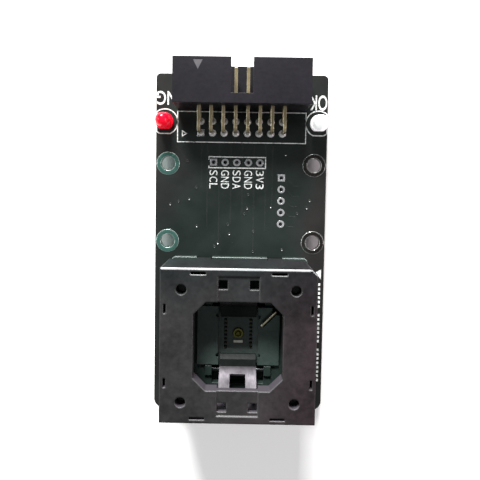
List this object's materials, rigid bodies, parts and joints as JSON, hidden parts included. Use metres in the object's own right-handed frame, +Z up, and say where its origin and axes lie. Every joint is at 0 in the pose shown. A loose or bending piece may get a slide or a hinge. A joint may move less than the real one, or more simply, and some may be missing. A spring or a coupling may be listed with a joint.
{
  "type": "zif socket",
  "caption": "Open-top zero-insertion-force test socket on an adapter board: its sprung cover, pressed down, swings two latches off the nest. Box header and two lamps at the far end.",
  "frame": {"origin": "middle of the four screw holes, on the board's underside", "axes": "+X across the board, +Y along the board towards the box header, +Z up out of the board's component side"},
  "size_m": [0.0374, 0.0756, 0.0196],
  "materials": {
    "board_mask": "satin black-green solder mask",
    "header_plastic": "moulded, fine grain",
    "header_pin_gold": "pale gold plate over drawn square wire",
    "solder": "bright solder, slightly uneven",
    "red_lens": "clear-tinted red epoxy",
    "clear_lens": "water-clear epoxy",
    "tinned_lead": "tinned steel",
    "base_plastic": "moulded, dark green-black",
    "guide_plastic": "moulded, smooth",
    "nest_plastic": "moulded, smooth",
    "cover_plastic": "moulded, faint grain, slightly worn edges",
    "nose_plastic": "moulded, smooth",
    "contact_gold": "gold plate over beryllium copper",
    "blade_metal": "pale gold plate",
    "lever_steel": "stamped, fine brushing",
    "pin_steel": "ground pin",
    "spring_steel": "drawn spring wire",
    "bias_gold": "pale gold plated wire"
  },
  "bodies": {
    "board": {"circuit_board": "board_mask", "header_housing": "header_plastic", "header_pins_upper": "header_pin_gold", "header_pins_lower": "header_pin_gold", "header_solder": "solder", "red_led_lens": "red_lens", "red_led_leads": "tinned_lead", "clear_led_lens": "clear_lens", "clear_led_leads": "tinned_lead", "led_solder": "solder", "socket_base": "base_plastic", "lead_stopper": "guide_plastic", "contact_guide": "guide_plastic", "package_nest": "nest_plastic", "signal_contacts_left": "contact_gold", "signal_contacts_right": "contact_gold", "centre_contact": "contact_gold", "ground_blade": "blade_metal", "socket_solder": "solder", "cover_spring_inner_left": "spring_steel", "cover_spring_inner_right": "spring_steel", "cover_spring_outer_left": "spring_steel", "cover_spring_outer_right": "spring_steel", "latch_pin_inner": "pin_steel", "latch_pin_outer": "pin_steel", "latch_spring_inner": "spring_steel", "latch_spring_outer": "spring_steel"},
    "cover": {"socket_cover": "cover_plastic"},
    "latch_inner": {"latch_lever_inner": "lever_steel", "latch_nose_inner": "nose_plastic"},
    "latch_outer": {"latch_lever_outer": "lever_steel", "latch_nose_outer": "nose_plastic"},
    "bias": {"bias_wire": "bias_gold"}
  },
  "joints": [
    {"name": "cover_slide", "type": "slide", "parent": "board", "child": "cover", "axis": [0, 0, -1], "range_m": [0, 0.0025], "stiffness_N_per_m": 800, "springref_m": -0.002, "deforming": ["cover_spring_inner_left", "cover_spring_inner_right", "cover_spring_outer_left", "cover_spring_outer_right"]},
    {"name": "latch_inner_hinge", "type": "hinge", "parent": "board", "child": "latch_inner", "pos_m": [0, -0.01925, 0.0101], "axis": [-1, 0, 0], "range_deg": [0, 40], "stiffness_Nm_per_rad": 0.0002, "springref_deg": -9.74, "deforming": ["latch_spring_inner"]},
    {"name": "latch_outer_hinge", "type": "hinge", "parent": "board", "child": "latch_outer", "pos_m": [0, -0.03385, 0.0101], "axis": [1, 0, 0], "range_deg": [0, 40], "stiffness_Nm_per_rad": 0.0002, "springref_deg": -9.74, "deforming": ["latch_spring_outer"]},
    {"name": "bias_wire_slide", "type": "slide", "parent": "board", "child": "bias", "axis": [0.7071, 0.7071, 0], "range_m": [0, 0.0004], "stiffness_N_per_m": 4, "springref_m": -0.0001}
  ],
  "couplings": [
    {"joint": "latch_inner_hinge", "follows": "cover_slide", "rad_per_m": 279.25},
    {"joint": "latch_outer_hinge", "follows": "cover_slide", "rad_per_m": 279.25}
  ]
}
